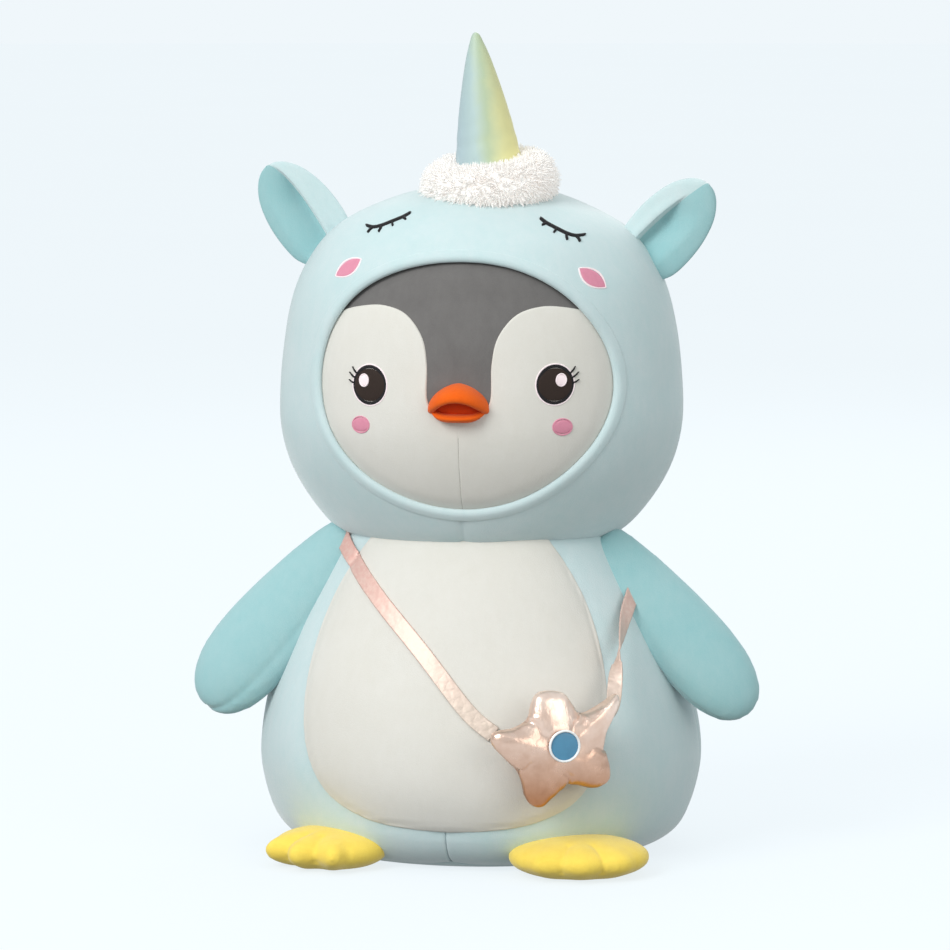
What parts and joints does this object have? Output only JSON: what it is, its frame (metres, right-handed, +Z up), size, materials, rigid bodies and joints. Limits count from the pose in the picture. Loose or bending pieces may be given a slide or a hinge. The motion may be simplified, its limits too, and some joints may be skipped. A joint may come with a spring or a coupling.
{
  "type": "plush penguin",
  "caption": "Stuffed toy penguin in a soft unicorn hood with ears and a horn, sewn wings and feet, and a star shoulder bag on a ribbon strap.",
  "frame": {"origin": "middle of the flat base that the toy sits on", "axes": "+Z up to the tip of the horn, -Y the way the toy faces, +X the toy's left"},
  "size_m": [0.3516, 0.2674, 0.5],
  "materials": {
    "polyester_filling": "matte",
    "white_velour": "matte",
    "light_blue_velour": "matte",
    "teal_velour": "matte",
    "grey_velour": "matte",
    "orange_velour": "matte",
    "dark_orange_velour": "matte",
    "brown_embroidery": "matte",
    "white_embroidery": "matte",
    "black_embroidery": "matte",
    "pink_embroidery": "matte",
    "yellow_velour": "matte",
    "white_fleece": "matte",
    "rainbow_satin": "satin",
    "rose_gold_leather": "satin",
    "pink_ribbon": "satin",
    "blue_enamel": "gloss",
    "white_enamel": "gloss"
  },
  "bodies": {
    "root": {"base_panel": "light_blue_velour", "body_stuffing": "polyester_filling", "belly_panel": "white_velour", "body_front_left": "light_blue_velour", "body_front_right": "light_blue_velour", "body_back_left": "light_blue_velour", "body_back_right": "light_blue_velour", "head_stuffing": "polyester_filling", "face_left": "white_velour", "face_right": "white_velour", "crown_panel": "grey_velour", "eye_left": "brown_embroidery", "eye_right": "brown_embroidery", "eye_glint_left": "white_embroidery", "eye_glint_right": "white_embroidery", "cheek_left": "pink_embroidery", "cheek_right": "pink_embroidery", "beak_upper": "orange_velour", "beak_lower": "orange_velour", "mouth_lining": "dark_orange_velour", "hood_front": "light_blue_velour", "hood_back_left": "light_blue_velour", "hood_back_right": "light_blue_velour", "hood_hem": "light_blue_velour", "sleepy_lid_left": "black_embroidery", "sleepy_lid_right": "black_embroidery", "hood_cheek_left": "pink_embroidery", "hood_cheek_right": "pink_embroidery", "fleece_ring": "white_fleece", "strap_back": "pink_ribbon"},
    "horn": {"horn_cover": "rainbow_satin", "horn_stuffing": "polyester_filling"},
    "ear_left": {"ear_left_outer": "light_blue_velour", "ear_left_lining": "teal_velour"},
    "ear_right": {"ear_right_outer": "light_blue_velour", "ear_right_lining": "teal_velour"},
    "wing_left": {"wing_left_top": "teal_velour", "wing_left_under": "teal_velour", "wing_left_stuffing": "polyester_filling"},
    "wing_right": {"wing_right_top": "teal_velour", "wing_right_under": "teal_velour", "wing_right_stuffing": "polyester_filling"},
    "foot_left": {"foot_left_top": "yellow_velour", "foot_left_sole": "yellow_velour", "foot_left_stuffing": "polyester_filling"},
    "foot_right": {"foot_right_top": "yellow_velour", "foot_right_sole": "yellow_velour", "foot_right_stuffing": "polyester_filling"},
    "bag": {"star_front": "rose_gold_leather", "star_back": "rose_gold_leather", "star_stuffing": "polyester_filling", "badge_disc": "blue_enamel", "badge_rim": "white_enamel", "strap_front": "pink_ribbon", "strap_side": "pink_ribbon"}
  },
  "joints": [
    {"name": "horn_bend", "type": "hinge", "parent": "root", "child": "horn", "pos_m": [0.00366, -0.014, 0.40494], "axis": [1, 0, 0], "range_deg": [-12, 12], "stiffness_Nm_per_rad": 0.05},
    {"name": "ear_left_fold", "type": "hinge", "parent": "root", "child": "ear_left", "pos_m": [0.10131, -0.004, 0.3645], "axis": [0.7547, 0, -0.6561], "range_deg": [-20, 20], "stiffness_Nm_per_rad": 0.03},
    {"name": "ear_right_fold", "type": "hinge", "parent": "root", "child": "ear_right", "pos_m": [-0.09657, -0.004, 0.37141], "axis": [0.7986, 0, 0.6018], "range_deg": [-20, 20], "stiffness_Nm_per_rad": 0.03},
    {"name": "wing_left_swing", "type": "hinge", "parent": "root", "child": "wing_left", "pos_m": [0.085, -0.03, 0.183], "axis": [0, -1, 0], "range_deg": [0, 40], "stiffness_Nm_per_rad": 0.2},
    {"name": "wing_right_swing", "type": "hinge", "parent": "root", "child": "wing_right", "pos_m": [-0.085, -0.03, 0.183], "axis": [0, 1, 0], "range_deg": [0, 40], "stiffness_Nm_per_rad": 0.2},
    {"name": "foot_left_flex", "type": "hinge", "parent": "root", "child": "foot_left", "pos_m": [0.07, -0.084, 0.01], "axis": [-0.9872, -0.1593, 0], "range_deg": [-8, 16], "stiffness_Nm_per_rad": 0.3},
    {"name": "foot_right_flex", "type": "hinge", "parent": "root", "child": "foot_right", "pos_m": [-0.074, -0.076, 0.01], "axis": [-0.8776, 0.4794, 0], "range_deg": [-8, 16], "stiffness_Nm_per_rad": 0.3},
    {"name": "bag_lift", "type": "hinge", "parent": "root", "child": "bag", "pos_m": [-0.084, -0.03, 0.199], "axis": [-0.9925, -0.0111, 0.122], "range_deg": [0, 15]}
  ]
}
